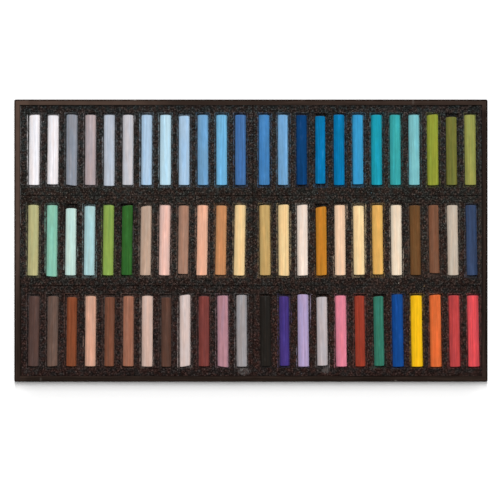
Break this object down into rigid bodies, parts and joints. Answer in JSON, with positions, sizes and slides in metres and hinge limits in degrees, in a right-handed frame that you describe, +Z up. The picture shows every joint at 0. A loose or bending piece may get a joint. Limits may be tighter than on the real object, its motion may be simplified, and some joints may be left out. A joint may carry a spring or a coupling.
{
  "type": "pastel tray",
  "caption": "Shallow finger-jointed wooden tray with slotted foam inserts that hold round soft pastel sticks side by side; sticks and inserts lift out.",
  "frame": {"origin": "centre of the footprint, on the surface that the tray rests on", "axes": "+X to the right along the long side, +Y to the back, +Z up"},
  "size_m": [0.436, 0.26, 0.024],
  "materials": {
    "stained_wood": "thin dark brown stain on close-grained wood, satin",
    "stained_plywood": "dark stained plywood, matte",
    "black_foam": "black closed-cell foam with a fine pale speckle, matte",
    "pastel_white": "matte chalk pigment",
    "pastel_grey": "matte chalk pigment",
    "pastel_blue": "matte chalk pigment",
    "pastel_turquoise": "matte chalk pigment",
    "pastel_mint": "matte chalk pigment",
    "pastel_green": "matte chalk pigment",
    "pastel_cream": "matte chalk pigment",
    "pastel_ochre": "matte chalk pigment",
    "pastel_brown": "matte chalk pigment",
    "pastel_umber": "matte chalk pigment",
    "pastel_violet": "matte chalk pigment",
    "pastel_red": "matte chalk pigment",
    "pastel_black": "matte chalk pigment"
  },
  "bodies": {
    "tray": {"front_wall": "stained_wood", "right_wall": "stained_wood", "back_wall": "stained_wood", "left_wall": "stained_wood", "bottom_panel": "stained_plywood"},
    "foam_back_left": {"foam_insert_back_left": "black_foam", "foam_backing_back_left": "black_foam"},
    "pastels_back_left_1": {"pastels_back_left_1": "pastel_white"},
    "pastels_back_left_2": {"pastels_back_left_2": "pastel_white"},
    "pastels_back_left_3": {"pastels_back_left_3": "pastel_grey"},
    "pastels_back_left_4": {"pastels_back_left_4": "pastel_grey"},
    "pastels_back_left_5": {"pastels_back_left_5": "pastel_grey"},
    "pastels_back_left_6": {"pastels_back_left_6": "pastel_grey"},
    "foam_back_right": {"foam_insert_back_right": "black_foam", "foam_backing_back_right": "black_foam"},
    "pastels_back_right_1": {"pastels_back_right_1": "pastel_blue"},
    "pastels_back_right_2": {"pastels_back_right_2": "pastel_blue"},
    "pastels_back_right_3": {"pastels_back_right_3": "pastel_blue"},
    "pastels_back_right_4": {"pastels_back_right_4": "pastel_blue"},
    "pastels_back_right_5": {"pastels_back_right_5": "pastel_turquoise"},
    "pastels_back_right_6": {"pastels_back_right_6": "pastel_blue"},
    "foam_middle_left": {"foam_insert_middle_left": "black_foam", "foam_backing_middle_left": "black_foam"},
    "pastels_middle_left_1": {"pastels_middle_left_1": "pastel_mint"},
    "pastels_middle_left_2": {"pastels_middle_left_2": "pastel_mint"},
    "pastels_middle_left_3": {"pastels_middle_left_3": "pastel_mint"},
    "pastels_middle_left_4": {"pastels_middle_left_4": "pastel_mint"},
    "pastels_middle_left_5": {"pastels_middle_left_5": "pastel_green"},
    "pastels_middle_left_6": {"pastels_middle_left_6": "pastel_green"},
    "foam_middle_right": {"foam_insert_middle_right": "black_foam", "foam_backing_middle_right": "black_foam"},
    "pastels_middle_right_1": {"pastels_middle_right_1": "pastel_ochre"},
    "pastels_middle_right_2": {"pastels_middle_right_2": "pastel_cream"},
    "pastels_middle_right_3": {"pastels_middle_right_3": "pastel_cream"},
    "pastels_middle_right_4": {"pastels_middle_right_4": "pastel_ochre"},
    "pastels_middle_right_5": {"pastels_middle_right_5": "pastel_cream"},
    "pastels_middle_right_6": {"pastels_middle_right_6": "pastel_cream"},
    "foam_front_left": {"foam_insert_front_left": "black_foam", "foam_backing_front_left": "black_foam"},
    "pastels_front_left_1": {"pastels_front_left_1": "pastel_umber"},
    "pastels_front_left_2": {"pastels_front_left_2": "pastel_umber"},
    "pastels_front_left_3": {"pastels_front_left_3": "pastel_brown"},
    "pastels_front_left_4": {"pastels_front_left_4": "pastel_cream"},
    "pastels_front_left_5": {"pastels_front_left_5": "pastel_umber"},
    "pastels_front_left_6": {"pastels_front_left_6": "pastel_brown"},
    "foam_front_right": {"foam_insert_front_right": "black_foam", "foam_backing_front_right": "black_foam"},
    "pastels_front_right_1": {"pastels_front_right_1": "pastel_black"},
    "pastels_front_right_2": {"pastels_front_right_2": "pastel_violet"},
    "pastels_front_right_3": {"pastels_front_right_3": "pastel_violet"},
    "pastels_front_right_4": {"pastels_front_right_4": "pastel_grey"},
    "pastels_front_right_5": {"pastels_front_right_5": "pastel_red"},
    "pastels_front_right_6": {"pastels_front_right_6": "pastel_red"}
  },
  "joints": [
    {"name": "lift_foam_back_left", "type": "slide", "parent": "tray", "child": "foam_back_left", "axis": [0, 0, 1], "range_m": [0, 0.04]},
    {"name": "lift_pastels_back_left_1", "type": "slide", "parent": "foam_back_left", "child": "pastels_back_left_1", "axis": [0, 0, 1], "range_m": [0, 0.04]},
    {"name": "lift_pastels_back_left_2", "type": "slide", "parent": "foam_back_left", "child": "pastels_back_left_2", "axis": [0, 0, 1], "range_m": [0, 0.04]},
    {"name": "lift_pastels_back_left_3", "type": "slide", "parent": "foam_back_left", "child": "pastels_back_left_3", "axis": [0, 0, 1], "range_m": [0, 0.04]},
    {"name": "lift_pastels_back_left_4", "type": "slide", "parent": "foam_back_left", "child": "pastels_back_left_4", "axis": [0, 0, 1], "range_m": [0, 0.04]},
    {"name": "lift_pastels_back_left_5", "type": "slide", "parent": "foam_back_left", "child": "pastels_back_left_5", "axis": [0, 0, 1], "range_m": [0, 0.04]},
    {"name": "lift_pastels_back_left_6", "type": "slide", "parent": "foam_back_left", "child": "pastels_back_left_6", "axis": [0, 0, 1], "range_m": [0, 0.04]},
    {"name": "lift_foam_back_right", "type": "slide", "parent": "tray", "child": "foam_back_right", "axis": [0, 0, 1], "range_m": [0, 0.04]},
    {"name": "lift_pastels_back_right_1", "type": "slide", "parent": "foam_back_right", "child": "pastels_back_right_1", "axis": [0, 0, 1], "range_m": [0, 0.04]},
    {"name": "lift_pastels_back_right_2", "type": "slide", "parent": "foam_back_right", "child": "pastels_back_right_2", "axis": [0, 0, 1], "range_m": [0, 0.04]},
    {"name": "lift_pastels_back_right_3", "type": "slide", "parent": "foam_back_right", "child": "pastels_back_right_3", "axis": [0, 0, 1], "range_m": [0, 0.04]},
    {"name": "lift_pastels_back_right_4", "type": "slide", "parent": "foam_back_right", "child": "pastels_back_right_4", "axis": [0, 0, 1], "range_m": [0, 0.04]},
    {"name": "lift_pastels_back_right_5", "type": "slide", "parent": "foam_back_right", "child": "pastels_back_right_5", "axis": [0, 0, 1], "range_m": [0, 0.04]},
    {"name": "lift_pastels_back_right_6", "type": "slide", "parent": "foam_back_right", "child": "pastels_back_right_6", "axis": [0, 0, 1], "range_m": [0, 0.04]},
    {"name": "lift_foam_middle_left", "type": "slide", "parent": "tray", "child": "foam_middle_left", "axis": [0, 0, 1], "range_m": [0, 0.04]},
    {"name": "lift_pastels_middle_left_1", "type": "slide", "parent": "foam_middle_left", "child": "pastels_middle_left_1", "axis": [0, 0, 1], "range_m": [0, 0.04]},
    {"name": "lift_pastels_middle_left_2", "type": "slide", "parent": "foam_middle_left", "child": "pastels_middle_left_2", "axis": [0, 0, 1], "range_m": [0, 0.04]},
    {"name": "lift_pastels_middle_left_3", "type": "slide", "parent": "foam_middle_left", "child": "pastels_middle_left_3", "axis": [0, 0, 1], "range_m": [0, 0.04]},
    {"name": "lift_pastels_middle_left_4", "type": "slide", "parent": "foam_middle_left", "child": "pastels_middle_left_4", "axis": [0, 0, 1], "range_m": [0, 0.04]},
    {"name": "lift_pastels_middle_left_5", "type": "slide", "parent": "foam_middle_left", "child": "pastels_middle_left_5", "axis": [0, 0, 1], "range_m": [0, 0.04]},
    {"name": "lift_pastels_middle_left_6", "type": "slide", "parent": "foam_middle_left", "child": "pastels_middle_left_6", "axis": [0, 0, 1], "range_m": [0, 0.04]},
    {"name": "lift_foam_middle_right", "type": "slide", "parent": "tray", "child": "foam_middle_right", "axis": [0, 0, 1], "range_m": [0, 0.04]},
    {"name": "lift_pastels_middle_right_1", "type": "slide", "parent": "foam_middle_right", "child": "pastels_middle_right_1", "axis": [0, 0, 1], "range_m": [0, 0.04]},
    {"name": "lift_pastels_middle_right_2", "type": "slide", "parent": "foam_middle_right", "child": "pastels_middle_right_2", "axis": [0, 0, 1], "range_m": [0, 0.04]},
    {"name": "lift_pastels_middle_right_3", "type": "slide", "parent": "foam_middle_right", "child": "pastels_middle_right_3", "axis": [0, 0, 1], "range_m": [0, 0.04]},
    {"name": "lift_pastels_middle_right_4", "type": "slide", "parent": "foam_middle_right", "child": "pastels_middle_right_4", "axis": [0, 0, 1], "range_m": [0, 0.04]},
    {"name": "lift_pastels_middle_right_5", "type": "slide", "parent": "foam_middle_right", "child": "pastels_middle_right_5", "axis": [0, 0, 1], "range_m": [0, 0.04]},
    {"name": "lift_pastels_middle_right_6", "type": "slide", "parent": "foam_middle_right", "child": "pastels_middle_right_6", "axis": [0, 0, 1], "range_m": [0, 0.04]},
    {"name": "lift_foam_front_left", "type": "slide", "parent": "tray", "child": "foam_front_left", "axis": [0, 0, 1], "range_m": [0, 0.04]},
    {"name": "lift_pastels_front_left_1", "type": "slide", "parent": "foam_front_left", "child": "pastels_front_left_1", "axis": [0, 0, 1], "range_m": [0, 0.04]},
    {"name": "lift_pastels_front_left_2", "type": "slide", "parent": "foam_front_left", "child": "pastels_front_left_2", "axis": [0, 0, 1], "range_m": [0, 0.04]},
    {"name": "lift_pastels_front_left_3", "type": "slide", "parent": "foam_front_left", "child": "pastels_front_left_3", "axis": [0, 0, 1], "range_m": [0, 0.04]},
    {"name": "lift_pastels_front_left_4", "type": "slide", "parent": "foam_front_left", "child": "pastels_front_left_4", "axis": [0, 0, 1], "range_m": [0, 0.04]},
    {"name": "lift_pastels_front_left_5", "type": "slide", "parent": "foam_front_left", "child": "pastels_front_left_5", "axis": [0, 0, 1], "range_m": [0, 0.04]},
    {"name": "lift_pastels_front_left_6", "type": "slide", "parent": "foam_front_left", "child": "pastels_front_left_6", "axis": [0, 0, 1], "range_m": [0, 0.04]},
    {"name": "lift_foam_front_right", "type": "slide", "parent": "tray", "child": "foam_front_right", "axis": [0, 0, 1], "range_m": [0, 0.04]},
    {"name": "lift_pastels_front_right_1", "type": "slide", "parent": "foam_front_right", "child": "pastels_front_right_1", "axis": [0, 0, 1], "range_m": [0, 0.04]},
    {"name": "lift_pastels_front_right_2", "type": "slide", "parent": "foam_front_right", "child": "pastels_front_right_2", "axis": [0, 0, 1], "range_m": [0, 0.04]},
    {"name": "lift_pastels_front_right_3", "type": "slide", "parent": "foam_front_right", "child": "pastels_front_right_3", "axis": [0, 0, 1], "range_m": [0, 0.04]},
    {"name": "lift_pastels_front_right_4", "type": "slide", "parent": "foam_front_right", "child": "pastels_front_right_4", "axis": [0, 0, 1], "range_m": [0, 0.04]},
    {"name": "lift_pastels_front_right_5", "type": "slide", "parent": "foam_front_right", "child": "pastels_front_right_5", "axis": [0, 0, 1], "range_m": [0, 0.04]},
    {"name": "lift_pastels_front_right_6", "type": "slide", "parent": "foam_front_right", "child": "pastels_front_right_6", "axis": [0, 0, 1], "range_m": [0, 0.04]}
  ]
}
